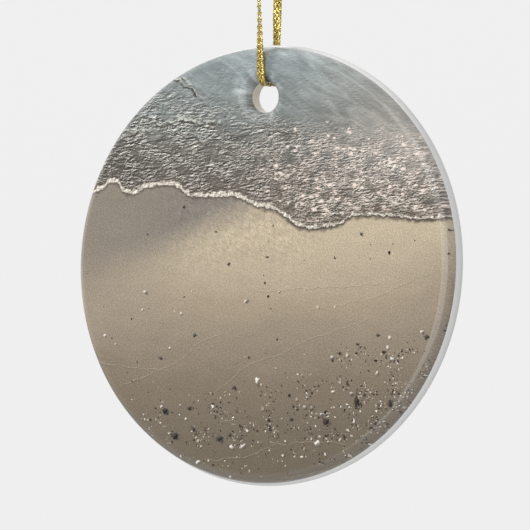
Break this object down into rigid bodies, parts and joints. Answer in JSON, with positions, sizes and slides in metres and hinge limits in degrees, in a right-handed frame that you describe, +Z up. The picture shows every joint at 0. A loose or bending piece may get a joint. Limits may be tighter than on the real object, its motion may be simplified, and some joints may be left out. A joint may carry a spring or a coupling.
{
  "type": "hanging disc ornament",
  "caption": "Flat round glazed ceramic ornament with a printed front, hung from a knotted loop of flat metallic cord that passes through a hole near its top edge.",
  "frame": {"origin": "the hang point: the underside of the top of the cord loop, where a hook or twig carries it", "axes": "the printed front faces -Y; +X is the viewer's right when facing the front; +Z up along the hanging cord"},
  "size_m": [0.0714, 0.0112, 0.137],
  "materials": {
    "glazed_porcelain": "white porcelain under a clear gloss glaze",
    "printed_picture": "full-colour picture under a thin clear gloss film",
    "metallic_cord": "flat braid of fine metallic gold yarn"
  },
  "bodies": {
    "hanger": {"cord_knot": "metallic_cord", "cord_strand_front": "metallic_cord", "cord_strand_back": "metallic_cord", "cord_tail_front": "metallic_cord", "cord_tail_back": "metallic_cord"},
    "bight": {"cord_bight": "metallic_cord"},
    "disc": {"ceramic_disc": "glazed_porcelain", "printed_coating": "printed_picture"}
  },
  "joints": [
    {"name": "loop_turn", "type": "hinge", "parent": "hanger", "child": "bight", "pos_m": [0, 0, -0.045], "axis": [0, 0, 1], "range_deg": [-90, 90], "stiffness_Nm_per_rad": 0.0001},
    {"name": "disc_swing", "type": "hinge", "parent": "bight", "child": "disc", "pos_m": [0, 0, -0.0625], "axis": [0, 1, 0], "range_deg": [-60, 60]}
  ]
}
